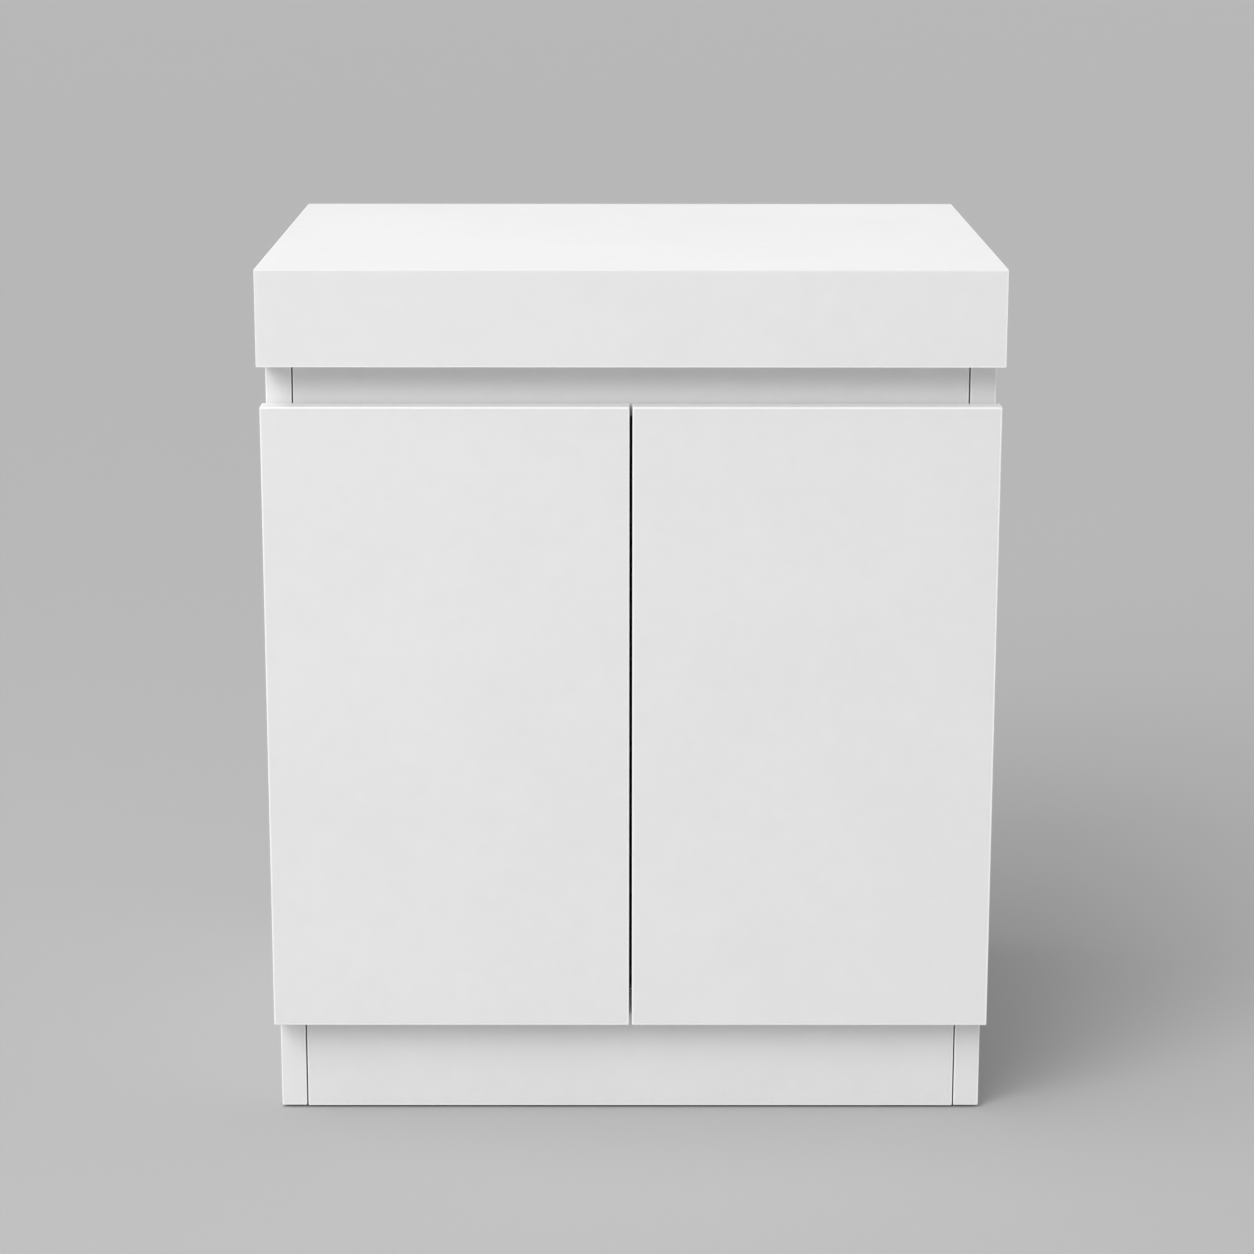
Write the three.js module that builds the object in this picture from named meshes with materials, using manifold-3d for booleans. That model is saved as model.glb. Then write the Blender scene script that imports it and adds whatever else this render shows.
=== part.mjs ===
// Aquarium stand cabinet: laminated boards, a thick built-up top, two doors on concealed hinges.
// Millimetres, +Z up, front towards -Y. The origin is on the floor, under the middle of the cabinet.
import * as THREE from "three";
import { mergeVertices } from "three/addons/utils/BufferGeometryUtils.js";
import Module from "manifold-3d";

const wasm = await Module();
wasm.setup();

// Overall size and boards
const WIDTH = 600;
const DEPTH = 490;
const HEIGHT = 719;
const BOARD = 21; // laminated board
const GLIDE_HEIGHT = 2;
const JOINT_LINE = 1.2; // shadow gap at each end of a board that stands between the side panels

// Built-up top box
const TOP_HEIGHT = 78;
const SOFFIT = 12;
const MITRE_GAP = 0.06;
const RIB_X = 100;
const TOP_OVERHANG_SIDE = 4;
const TOP_OVERHANG_BACK = 3;

// Carcass
const FRONT_EDGE_Y = -212; // front edges of the side panels, rail and plinth
const RAIL_HEIGHT = 45;
const PLINTH_TOP = 86;

// Doors
const DOOR_GAP = 2.4; // between the two doors
const DOOR_CLEARANCE = 2; // between a closed door and the carcass
const DOOR_BOTTOM = 82;
const DOOR_TOP = 607;
const DOOR_HALF_SPAN = 299; // from the middle plane to a door's outer edge

// Hinge cups, bored into the doors
const CUP_FROM_EDGE = 23; // cup centre from the door's outer edge
const CUP_RADIUS = 17.5;
const CUP_DEPTH = 13.4;
const CUP_WALL = 0.8;
const CUP_SLACK = 0.2; // between the cup and its bore
const CUP_EAR_ASIDE = 6; // the flange's screws stand this far from the cup centre towards the middle
const CUP_EAR_HEIGHT = 24; // and this far above and below it
const CUP_EAR_RADIUS = 6.5;
const CUP_SCREW_HOLE_RADIUS = 2.2;
const CUP_PIN_SHORT = 0.1; // the pins stop this far inside the pot's outer wall
const BORE_DEPTH = 13.6;
const HINGE_FROM_DOOR_END = 95;

// Grommets in the back panel
const GROMMET_X = 150;
const GROMMET_Z = 520;
const GROMMET_HOLE_RADIUS = 30;
const GROMMET_BORE_RADIUS = 27;
const GROMMET_FLANGE_WIDTH = 4; // beyond the hole in the panel
const GROMMET_FLANGE_HEIGHT = 2.5;
const GROMMET_SLACK = 0.3; // between the tube and the hole
const GROMMET_SHORT = 2; // the tube ends this far short of the panel's inner face
const GROMMET_CHAMFER = 1;

// Small fittings
const BRACKET_LEG = 30;
const BRACKET_STEEL = 2;
const BRACKET_WIDTH = 20;
const BRACKET_HOLE = 19.5; // from the corner to the middle of each hole
const BRACKET_Y = { front: -150, rear: 170 };
const BUMPER_RADIUS = 4;
const BUMPER_HEIGHT = 1.9;
const BUMPER_X = 40;
const BUMPER_Z = { lower: 96.5, upper: 601.5 };
const GLIDE_RADIUS = 9;
const GLIDE_Y = { front: -190, rear: 220 };
const SCREW_HOLE_RADIUS = 2.5;

// Worked out from the sizes above
const TOP_UNDERSIDE = HEIGHT - TOP_HEIGHT;
const SIDE_OUTER_X = WIDTH / 2 - TOP_OVERHANG_SIDE;
const SIDE_INNER_X = SIDE_OUTER_X - BOARD;
const CARCASS_BACK_Y = DEPTH / 2 - TOP_OVERHANG_BACK;
const BACK_PANEL_Y = CARCASS_BACK_Y - BOARD;
const DOOR_BACK_Y = FRONT_EDGE_Y - DOOR_CLEARANCE;
const DOOR_FRONT_Y = DOOR_BACK_Y - BOARD;
const HINGE_HEIGHTS = {
  lower: DOOR_BOTTOM + HINGE_FROM_DOOR_END,
  upper: DOOR_TOP - HINGE_FROM_DOOR_END,
};
const SIDES = { left: -1, right: 1 };
const PAST = 1; // a cutter runs this far past the face it leaves by

const LAMINATE = new THREE.MeshStandardMaterial({ color: 0xe9e8e8, roughness: 0.5 });
const INNER_LAMINATE = new THREE.MeshStandardMaterial({ color: 0xe4e3e2, roughness: 0.55 });
const PLATED_STEEL = new THREE.MeshStandardMaterial({ color: 0xb9bcc0, roughness: 0.3, metalness: 1 });
const ZINC_STEEL = new THREE.MeshStandardMaterial({ color: 0xa9adb0, roughness: 0.45, metalness: 1 });
const BLACK_PLASTIC = new THREE.MeshStandardMaterial({ color: 0x17181a, roughness: 0.55 });
const CLEAR_RUBBER = new THREE.MeshStandardMaterial({ color: 0xd9dcdc, roughness: 0.35 });
const GLIDE_PLASTIC = new THREE.MeshStandardMaterial({ color: 0x8c8d8f, roughness: 0.6 });

const cabinet = new THREE.Group();

function addPiece(name, geometry, material, parent = cabinet) {
  const mesh = new THREE.Mesh(geometry, material);
  mesh.name = name;
  parent.add(mesh);
  return mesh;
}

// Turns a closed geometry into a solid that can be joined and cut.
function solidOf(geometry) {
  const bare = geometry.clone();
  bare.deleteAttribute("normal");
  bare.deleteAttribute("uv");
  const merged = mergeVertices(bare, 1e-4);
  return new wasm.Manifold(new wasm.Mesh({
    numProp: 3,
    vertProperties: new Float32Array(merged.attributes.position.array),
    triVerts: new Uint32Array(merged.index.array),
  }));
}

function geometryOf(solid) {
  const { vertProperties, triVerts } = solid.getMesh();
  const geometry = new THREE.BufferGeometry();
  geometry.setAttribute("position", new THREE.BufferAttribute(vertProperties, 3));
  geometry.setIndex(new THREE.BufferAttribute(triVerts, 1));
  return geometry;
}

function join(...geometries) {
  return geometryOf(geometries.map(solidOf).reduce((whole, piece) => whole.add(piece)));
}

function cut(geometry, ...cutters) {
  const solid = cutters.map(solidOf).reduce((whole, cutter) => whole.subtract(cutter), solidOf(geometry));
  return geometryOf(solid);
}

// A box from its lowest to its highest corner.
function boxBetween([x0, y0, z0], [x1, y1, z1]) {
  const box = new THREE.BoxGeometry(x1 - x0, y1 - y0, z1 - z0);
  return box.translate((x0 + x1) / 2, (y0 + y1) / 2, (z0 + z1) / 2);
}

// A cylinder along Z, Y or X, from one end to the other.
function roundBar(axis, radius, from, to, [a, b], sides = 16) {
  const bar = new THREE.CylinderGeometry(radius, radius, to - from, sides);
  const middle = (from + to) / 2;
  if (axis === "z") return bar.rotateX(Math.PI / 2).translate(a, b, middle);
  if (axis === "x") return bar.rotateZ(Math.PI / 2).translate(middle, a, b);
  return bar.translate(a, middle, b);
}

// ---- Built-up top ----

// A closed solid between two four-cornered faces, both listed anticlockwise as seen from beyond `far`.
function blockBetween(near, far) {
  const index = [4, 5, 6, 4, 6, 7, 2, 1, 0, 3, 2, 0];
  for (let i = 0; i < 4; i++) {
    const next = (i + 1) % 4;
    index.push(i, next, next + 4, i, next + 4, i + 4);
  }
  const geometry = new THREE.BufferGeometry();
  geometry.setAttribute("position", new THREE.Float32BufferAttribute([...near, ...far].flat(), 3));
  geometry.setIndex(index);
  return geometry;
}

function rectangleAt(halfX, halfY, z) {
  return [[-halfX, -halfY, z], [halfX, -halfY, z], [halfX, halfY, z], [-halfX, halfY, z]];
}

// The top board's edges are cut at 45 degrees on the underside, to meet the mitred aprons.
function topBoard() {
  const [halfX, halfY] = [WIDTH / 2, DEPTH / 2];
  const underside = rectangleAt(halfX - BOARD, halfY - BOARD, HEIGHT - BOARD);
  return blockBetween(underside, rectangleAt(halfX, halfY, HEIGHT));
}

// One apron strip, standing with its outer face at y = -outerY, mitred at both ends and along its top.
function apron(length, outerY) {
  const innerY = outerY - BOARD;
  const outerX = length / 2 - MITRE_GAP;
  const innerX = outerX - BOARD;
  const innerTop = HEIGHT - BOARD - MITRE_GAP;
  const outerTop = HEIGHT - MITRE_GAP;
  const face = (x, y, top) => [
    [-x, -y, TOP_UNDERSIDE], [x, -y, TOP_UNDERSIDE], [x, -y, top], [-x, -y, top],
  ];
  return blockBetween(face(innerX, innerY, innerTop), face(outerX, outerY, outerTop));
}

function addTop() {
  addPiece("top_board", topBoard(), LAMINATE);
  const aprons = {
    front: [0, WIDTH, DEPTH],
    right: [1, DEPTH, WIDTH],
    back: [2, WIDTH, DEPTH],
    left: [3, DEPTH, WIDTH],
  };
  for (const [place, [quarterTurns, length, across]] of Object.entries(aprons)) {
    const strip = addPiece(`top_apron_${place}`, apron(length, across / 2), LAMINATE);
    strip.rotation.z = quarterTurns * Math.PI / 2;
  }
  const insideX = WIDTH / 2 - BOARD;
  const insideY = DEPTH / 2 - BOARD;
  const soffitTop = TOP_UNDERSIDE + SOFFIT;
  const soffit = boxBetween([-insideX, -insideY, TOP_UNDERSIDE], [insideX, insideY, soffitTop]);
  addPiece("top_soffit", soffit, LAMINATE);
  for (const [name, side] of Object.entries(SIDES)) {
    const [x0, x1] = [side * RIB_X - BOARD / 2, side * RIB_X + BOARD / 2];
    const rib = boxBetween([x0, -insideY, soffitTop], [x1, insideY, HEIGHT - BOARD]);
    addPiece(`top_rib_${name}`, rib, INNER_LAMINATE);
  }
}

// ---- Carcass ----

function backPanel() {
  const lowest = [-SIDE_INNER_X, BACK_PANEL_Y, GLIDE_HEIGHT];
  const board = boxBetween(lowest, [SIDE_INNER_X, CARCASS_BACK_Y, TOP_UNDERSIDE]);
  const holes = Object.values(SIDES).map((side) => {
    const middle = [side * GROMMET_X, GROMMET_Z];
    return roundBar("y", GROMMET_HOLE_RADIUS, BACK_PANEL_Y - PAST, CARCASS_BACK_Y + PAST, middle, 32);
  });
  return cut(board, ...holes);
}

function addCarcass() {
  for (const [name, side] of Object.entries(SIDES)) {
    const [x0, x1] = [side * SIDE_OUTER_X, side * SIDE_INNER_X].sort((a, b) => a - b);
    const panel = boxBetween([x0, FRONT_EDGE_Y, GLIDE_HEIGHT], [x1, CARCASS_BACK_Y, TOP_UNDERSIDE]);
    addPiece(`side_panel_${name}`, panel, LAMINATE);
  }
  const railX = SIDE_INNER_X - JOINT_LINE;
  const railBack = FRONT_EDGE_Y + BOARD;
  const railBottom = TOP_UNDERSIDE - RAIL_HEIGHT;
  const rail = boxBetween([-railX, FRONT_EDGE_Y, railBottom], [railX, railBack, TOP_UNDERSIDE]);
  addPiece("front_rail", rail, LAMINATE);
  const plinth = boxBetween([-railX, FRONT_EDGE_Y, GLIDE_HEIGHT], [railX, railBack, PLINTH_TOP]);
  addPiece("plinth_board", plinth, LAMINATE);
  const floorCorner = [-SIDE_INNER_X, FRONT_EDGE_Y, PLINTH_TOP];
  const floor = boxBetween(floorCorner, [SIDE_INNER_X, BACK_PANEL_Y, PLINTH_TOP + BOARD]);
  addPiece("bottom_panel", floor, INNER_LAMINATE);
  addPiece("back_panel", backPanel(), INNER_LAMINATE);
}

// A ring with a flange, turned about Y: the tube lies in the back panel, the flange on its outer face.
function grommet() {
  const tubeRadius = GROMMET_HOLE_RADIUS - GROMMET_SLACK;
  const tubeEnd = BACK_PANEL_Y + GROMMET_SHORT;
  const flangeRadius = GROMMET_HOLE_RADIUS + GROMMET_FLANGE_WIDTH;
  const flangeBack = CARCASS_BACK_Y + GROMMET_FLANGE_HEIGHT;
  const profile = [
    [GROMMET_BORE_RADIUS, tubeEnd],
    [tubeRadius, tubeEnd],
    [tubeRadius, CARCASS_BACK_Y],
    [flangeRadius, CARCASS_BACK_Y],
    [flangeRadius, flangeBack - GROMMET_CHAMFER],
    [flangeRadius - GROMMET_CHAMFER, flangeBack],
    [GROMMET_BORE_RADIUS + GROMMET_CHAMFER, flangeBack],
    [GROMMET_BORE_RADIUS, flangeBack - GROMMET_CHAMFER],
    [GROMMET_BORE_RADIUS, tubeEnd],
  ];
  return new THREE.LatheGeometry(profile.map(([r, y]) => new THREE.Vector2(r, y)), 32);
}

// An angle bracket in the corner between a side panel (at x = 0) and the soffit (at z = 0).
function angleBracket() {
  const half = BRACKET_WIDTH / 2;
  const upright = boxBetween([0, -half, -BRACKET_LEG], [BRACKET_STEEL, half, 0]);
  const flat = boxBetween([0, -half, -BRACKET_STEEL], [BRACKET_LEG, half, 0]);
  return cut(
    join(upright, flat),
    roundBar("x", SCREW_HOLE_RADIUS, -PAST, BRACKET_STEEL + PAST, [0, -BRACKET_HOLE], 12),
    roundBar("z", SCREW_HOLE_RADIUS, -BRACKET_STEEL - PAST, PAST, [BRACKET_HOLE, 0], 12),
  );
}

function addFittings() {
  for (const [name, side] of Object.entries(SIDES)) {
    const ring = addPiece(`grommet_${name}`, grommet(), BLACK_PLASTIC);
    ring.position.set(side * GROMMET_X, 0, GROMMET_Z);
    for (const [place, y] of Object.entries(BRACKET_Y)) {
      const bracket = addPiece(`bracket_${place}_${name}`, angleBracket(), ZINC_STEEL);
      bracket.position.set(side * SIDE_INNER_X, y, TOP_UNDERSIDE);
      bracket.scale.x = -side;
    }
    for (const [place, y] of Object.entries(GLIDE_Y)) {
      const disc = roundBar("z", GLIDE_RADIUS, 0, GLIDE_HEIGHT, [0, 0], 24);
      const glide = addPiece(`glide_${place}_${name}`, disc, GLIDE_PLASTIC);
      glide.position.set(side * (SIDE_OUTER_X - BOARD / 2), y, 0);
    }
    for (const [place, z] of Object.entries(BUMPER_Z)) {
      const dot = roundBar("y", BUMPER_RADIUS, DOOR_BACK_Y, DOOR_BACK_Y + BUMPER_HEIGHT, [0, 0], 16);
      const bumper = addPiece(`bumper_${place}_${name}`, dot, CLEAR_RUBBER);
      bumper.position.set(side * BUMPER_X, 0, z);
    }
  }
}

// ---- Doors ----

function door(side) {
  const [x0, x1] = [side * DOOR_GAP / 2, side * DOOR_HALF_SPAN].sort((a, b) => a - b);
  const board = boxBetween([x0, DOOR_FRONT_Y, DOOR_BOTTOM], [x1, DOOR_BACK_Y, DOOR_TOP]);
  const boreX = side * (DOOR_HALF_SPAN - CUP_FROM_EDGE);
  const boreRadius = CUP_RADIUS + CUP_SLACK;
  const bores = Object.values(HINGE_HEIGHTS).map((z) =>
    roundBar("y", boreRadius, DOOR_BACK_Y - BORE_DEPTH, DOOR_BACK_Y + PAST, [boreX, z], 32));
  return cut(board, ...bores);
}

function addDoors() {
  for (const [name, side] of Object.entries(SIDES)) addPiece(`door_${name}`, door(side), LAMINATE);
}

// ---- Concealed hinges ----
// A hinge is drawn in its own plane: u from the side panel's inner face towards the middle of the
// cabinet, v backwards from the carcass front edge, and z along the pins from the hinge's mid height.
// Two links join the arm, fixed to the side panel, to the cup, fixed in the door.

const OVERLAY = DOOR_HALF_SPAN - SIDE_INNER_X;
const inDoor = (fromEdge, depth) => new THREE.Vector2(fromEdge - OVERLAY, -DOOR_CLEARANCE - depth);
const OUTER_LINK = { arm: new THREE.Vector2(24.3, 19.93), cup: inDoor(11.57, 3.6) };
const INNER_LINK = { arm: new THREE.Vector2(7.57, -3.99), cup: inDoor(12.92, 8) };
// How far each link bows away from the straight line between its pivots, from the cup end:
// [share of its length, millimetres of bow]
const OUTER_BOW = [[0, 0], [0.08, 2.9], [0.16, 4.7], [0.28, 5.4], [0.45, 4.9], [0.7, 2.5], [1, 0]];
const INNER_BOW = [[0, 0], [0.18, 3.6], [0.36, 5.7], [0.54, 6.3], [0.74, 5], [1, 0]];
const PIN_RADIUS = 1.2;
const PIN_HOLE_RADIUS = 1.35;
const FREE_PIVOT_RADIUS = 2.3; // the inner link's eye is loose on its cup pin
const FREE_EYE_RADIUS = 3.1;
const OUTER_CUP_EYE_RADIUS = 2.1;
const OUTER_ARM_EYE_RADIUS = 2.9;
const SLEEVE_RADIUS = 2.5;
const INNER_ARM_EYE_RADIUS = 2.2;
const NOSE_EYE_RADIUS = 2.1;
const NOSE_ROOM = { radius: 3.2, beside: 0.25 }; // cleared in the inner link for the arm's nose
const LINK_THICKNESS = 2;
const TONGUE = 3.8; // half width of the arm's nose
const INNER_HALF = 6.1;
const OUTER_PLATE = [6.4, 8.2];
const CHEEK = [9.2, 11];
const ARM_TOP = 29.5;
const ARM_BACK = 62;
const ARM_STEEL = 1.5;
const ARM_SCREW = { v: 45, radius: 2.6 }; // the clamping screw, through the arm into the rail
const CROSS_BLOCK = { from: [11.5, 27], to: [18.5, 33] }; // joins the arm's nose to its cheeks
const PLATE_STEEL = 2.2;
const PLATE_SCREW = { v: 37, z: 20 };
const CUP_U = CUP_FROM_EDGE - OVERLAY;

function extruded(points, from, to) {
  const shape = new THREE.Shape(points);
  const solid = new THREE.ExtrudeGeometry(shape, { depth: to - from, bevelEnabled: false });
  return solid.translate(0, 0, from);
}

// The outline of a strip of even thickness that follows a bowed line from one pivot to the other.
function bowedStrip({ arm, cup }, bow, thickness) {
  const along = arm.clone().sub(cup);
  const aside = new THREE.Vector2(along.y, -along.x).normalize();
  const middle = new THREE.SplineCurve(bow.map(([share, offset]) =>
    cup.clone().addScaledVector(along, share).addScaledVector(aside, offset)));
  const steps = 10;
  const edges = [[], []];
  for (let i = 0; i <= steps; i++) {
    const point = middle.getPoint(i / steps);
    const heading = middle.getTangent(i / steps);
    const normal = new THREE.Vector2(-heading.y, heading.x).multiplyScalar(thickness / 2);
    edges[0].push(point.clone().sub(normal));
    edges[1].unshift(point.clone().add(normal));
  }
  return edges.flat();
}

function pinAt({ x, y }, from, to, radius = PIN_RADIUS) {
  return roundBar("z", radius, from, to, [x, y], 12);
}

// Two plates, one above and one below the arm's nose, joined by the sleeve on the arm pin.
function outerLink() {
  const [near, far] = OUTER_PLATE;
  const outline = bowedStrip(OUTER_LINK, OUTER_BOW, LINK_THICKNESS);
  const sleeve = pinAt(OUTER_LINK.arm, -far, far, SLEEVE_RADIUS);
  const plates = [[near, far], [-far, -near]].flatMap(([from, to]) => [
    extruded(outline, from, to),
    pinAt(OUTER_LINK.cup, from, to, OUTER_CUP_EYE_RADIUS),
    pinAt(OUTER_LINK.arm, from, to, OUTER_ARM_EYE_RADIUS),
  ]);
  return cut(
    join(sleeve, ...plates),
    pinAt(OUTER_LINK.arm, -far - PAST, far + PAST, PIN_HOLE_RADIUS),
    pinAt(OUTER_LINK.cup, -far - PAST, far + PAST, PIN_HOLE_RADIUS),
  );
}

// One bent strip, forked round the arm's nose, with a loose eye round its cup pin.
function innerLink() {
  const strip = extruded(bowedStrip(INNER_LINK, INNER_BOW, LINK_THICKNESS), -INNER_HALF, INNER_HALF);
  const past = INNER_HALF + PAST;
  const noseRoom = TONGUE + NOSE_ROOM.beside;
  return cut(
    join(
      strip,
      pinAt(INNER_LINK.cup, -INNER_HALF, INNER_HALF, FREE_EYE_RADIUS),
      pinAt(INNER_LINK.arm, -INNER_HALF, INNER_HALF, INNER_ARM_EYE_RADIUS),
    ),
    pinAt(INNER_LINK.cup, -past, past, FREE_PIVOT_RADIUS),
    pinAt(INNER_LINK.arm, -past, past, PIN_HOLE_RADIUS),
    pinAt(INNER_LINK.arm, -noseRoom, noseRoom, NOSE_ROOM.radius),
  );
}

// The arm: a channel over the mounting plate's rail, with a narrow nose that reaches into the cup.
function hingeArm() {
  const { arm: nosePivot } = INNER_LINK;
  const { arm: rearPivot } = OUTER_LINK;
  const [cheekIn, cheekOut] = CHEEK;
  const cheekOutline = [
    [9, 28], [20.5, 17], [24.5, 16], [ARM_TOP, 18], [ARM_TOP, ARM_BACK], [9, ARM_BACK],
  ].map(([u, v]) => new THREE.Vector2(u, v));
  const noseOutline = [
    [nosePivot.x - 2, nosePivot.y + 0.5], [nosePivot.x + 2, nosePivot.y - 0.5],
    [12, 4], [17, 14], [18.5, 24], [18.5, 33], [11.5, 33], [11.5, 24], [9, 12],
  ].map(([u, v]) => new THREE.Vector2(u, v));
  const crossBlock = boxBetween([...CROSS_BLOCK.from, -cheekOut], [...CROSS_BLOCK.to, cheekOut]);
  const top = boxBetween([ARM_TOP - ARM_STEEL, 18, -cheekOut], [ARM_TOP, ARM_BACK, cheekOut]);
  const shell = join(
    extruded(cheekOutline, cheekIn, cheekOut),
    extruded(cheekOutline, -cheekOut, -cheekIn),
    crossBlock,
    top,
    extruded(noseOutline, -TONGUE, TONGUE),
    pinAt(nosePivot, -TONGUE, TONGUE, NOSE_EYE_RADIUS),
    pinAt(nosePivot, -INNER_HALF, INNER_HALF),
    pinAt(rearPivot, -cheekOut, cheekOut),
  );
  const screwHole = roundBar("x", ARM_SCREW.radius, ARM_TOP - 3, ARM_TOP + PAST, [ARM_SCREW.v, 0], 12);
  return cut(shell, screwHole);
}

// The plate screwed to the side panel: two wings, and the rail that carries the arm.
function mountingPlate() {
  const wings = boxBetween([0, 30, -26], [PLATE_STEEL, 44, 26]);
  const base = boxBetween([0, 22, -9], [PLATE_STEEL, 60, 9]);
  const rail = boxBetween([0, 36, -8.5], [ARM_TOP - ARM_STEEL, 58, 8.5]);
  const holes = [-PLATE_SCREW.z, PLATE_SCREW.z].map((z) =>
    roundBar("x", SCREW_HOLE_RADIUS, -PAST, PLATE_STEEL + PAST, [PLATE_SCREW.v, z], 12));
  const armScrewHole = roundBar("x", ARM_SCREW.radius, ARM_TOP - 10, ARM_TOP, [ARM_SCREW.v, 0], 12);
  return cut(join(wings, base, rail), ...holes, armScrewHole);
}

// The cup: a pot sunk in the door, a flange with two screw ears on the door's back, and its pins.
function hingeCup() {
  const mouth = -DOOR_CLEARANCE;
  const bottom = mouth - CUP_DEPTH;
  const innerRadius = CUP_RADIUS - CUP_WALL;
  const profile = [
    [0, bottom],
    [CUP_RADIUS - 1, bottom],
    [CUP_RADIUS, bottom + 1],
    [CUP_RADIUS, mouth],
    [innerRadius, mouth],
    [innerRadius, bottom + CUP_WALL],
    [0, bottom + CUP_WALL],
  ];
  const pot = new THREE.LatheGeometry(profile.map(([r, v]) => new THREE.Vector2(r, v)), 32);
  const flangeTop = mouth + CUP_WALL;
  const earCentres = [-CUP_EAR_HEIGHT, CUP_EAR_HEIGHT].map((z) => [CUP_U + CUP_EAR_ASIDE, z]);
  const ears = earCentres.map((centre) => roundBar("y", CUP_EAR_RADIUS, mouth, flangeTop, centre, 16));
  const plateEnd = CUP_U + CUP_EAR_ASIDE + CUP_EAR_RADIUS;
  const plate = boxBetween([CUP_U - 3, mouth, -CUP_EAR_HEIGHT], [plateEnd, flangeTop, CUP_EAR_HEIGHT]);
  const flange = cut(
    join(plate, ...ears),
    roundBar("y", innerRadius, mouth - PAST, flangeTop + PAST, [CUP_U, 0], 32),
    ...earCentres.map((centre) =>
      roundBar("y", CUP_SCREW_HOLE_RADIUS, mouth - PAST, flangeTop + PAST, centre, 12)),
  );
  const [outerReach, innerReach] = [OUTER_LINK, INNER_LINK].map(({ cup }) =>
    Math.sqrt(CUP_RADIUS ** 2 - (CUP_U - cup.x + PIN_RADIUS) ** 2) - CUP_PIN_SHORT);
  return join(
    pot.translate(CUP_U, 0, 0),
    flange,
    pinAt(OUTER_LINK.cup, OUTER_PLATE[0] - CUP_PIN_SHORT, outerReach),
    pinAt(OUTER_LINK.cup, -outerReach, CUP_PIN_SHORT - OUTER_PLATE[0]),
    pinAt(INNER_LINK.cup, -innerReach, innerReach),
  );
}

function addHinges() {
  const pieces = {
    cup: [hingeCup, PLATED_STEEL],
    arm: [hingeArm, PLATED_STEEL],
    mounting_plate: [mountingPlate, ZINC_STEEL],
    outer_link: [outerLink, PLATED_STEEL],
    inner_link: [innerLink, PLATED_STEEL],
  };
  for (const [sideName, side] of Object.entries(SIDES)) {
    for (const [height, z] of Object.entries(HINGE_HEIGHTS)) {
      const hinge = new THREE.Group();
      hinge.position.set(side * SIDE_INNER_X, FRONT_EDGE_Y, z);
      hinge.scale.x = -side;
      cabinet.add(hinge);
      for (const [piece, [make, material]] of Object.entries(pieces)) {
        addPiece(`hinge_${height}_${sideName}_${piece}`, make(), material, hinge);
      }
    }
  }
}

addTop();
addCarcass();
addFittings();
addDoors();
addHinges();

export default cabinet;
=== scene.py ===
from math import acos, cos, pi, radians, sin, sqrt

import bmesh
import bpy
from mathutils import Matrix, Vector


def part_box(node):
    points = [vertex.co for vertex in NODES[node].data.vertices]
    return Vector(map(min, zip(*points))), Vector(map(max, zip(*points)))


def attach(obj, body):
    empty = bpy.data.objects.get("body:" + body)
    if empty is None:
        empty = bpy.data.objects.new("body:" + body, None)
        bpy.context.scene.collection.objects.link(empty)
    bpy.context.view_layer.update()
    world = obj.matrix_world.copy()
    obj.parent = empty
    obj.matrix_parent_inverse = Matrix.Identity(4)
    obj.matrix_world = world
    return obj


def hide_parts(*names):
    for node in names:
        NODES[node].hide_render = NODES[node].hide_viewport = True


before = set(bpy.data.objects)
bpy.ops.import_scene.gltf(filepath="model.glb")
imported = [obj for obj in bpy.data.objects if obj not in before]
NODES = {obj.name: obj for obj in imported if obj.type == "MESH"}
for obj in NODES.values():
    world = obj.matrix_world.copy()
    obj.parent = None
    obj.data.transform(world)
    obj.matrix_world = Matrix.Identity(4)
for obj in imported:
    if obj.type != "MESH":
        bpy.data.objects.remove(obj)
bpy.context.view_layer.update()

SIDES = {"left": -1, "right": 1}
MM = 0.001
IN_METRES = Matrix.Scale(MM, 4)

# A handleless aquarium stand: laminated boards under a built-up top, two doors on concealed hinges.
# The frame's boards, links, brackets and glides keep their shape and get a finish. Hinges, grommets and
# bumpers are drawn again in finer detail, and screws, cover caps and ribs are grown on their places.

X, Y, Z = 0, 1, 2


def lowest(node, axis):
    """Where a frame node starts along an axis, in millimetres."""
    return round(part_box(node)[0][axis] / MM, 2)


def highest(node, axis):
    return round(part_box(node)[1][axis] / MM, 2)


def middle(node, axis):
    return (lowest(node, axis) + highest(node, axis)) / 2


# Places that the cabinet's parts share, in millimetres
SIDE_INNER_X = lowest("side_panel_right", X)
FRONT_EDGE_Y = lowest("side_panel_right", Y)
DOOR_BACK_Y = highest("door_right", Y)
RAIL_BACK_Y = highest("front_rail", Y)
BACK_PANEL_FRONT_Y = lowest("back_panel", Y)
CARCASS_BACK_Y = highest("back_panel", Y)
FLOOR_TOP_Z = highest("bottom_panel", Z)
FLOOR_MIDDLE_Z = middle("bottom_panel", Z)
SOFFIT_Z = lowest("top_soffit", Z)
HINGE_Z = {height: middle(f"hinge_{height}_right_cup", Z) for height in ("lower", "upper")}
BRACKET_Y = {place: middle(f"bracket_{place}_right", Y) for place in ("front", "rear")}
BUMPER_X = middle("bumper_lower_right", X)
BUMPER_Z = {height: middle(f"bumper_{height}_right", Z) for height in ("lower", "upper")}
GROMMET_X = middle("grommet_right", X)
GROMMET_Z = middle("grommet_right", Z)


# ---- Node trees ----

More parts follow.
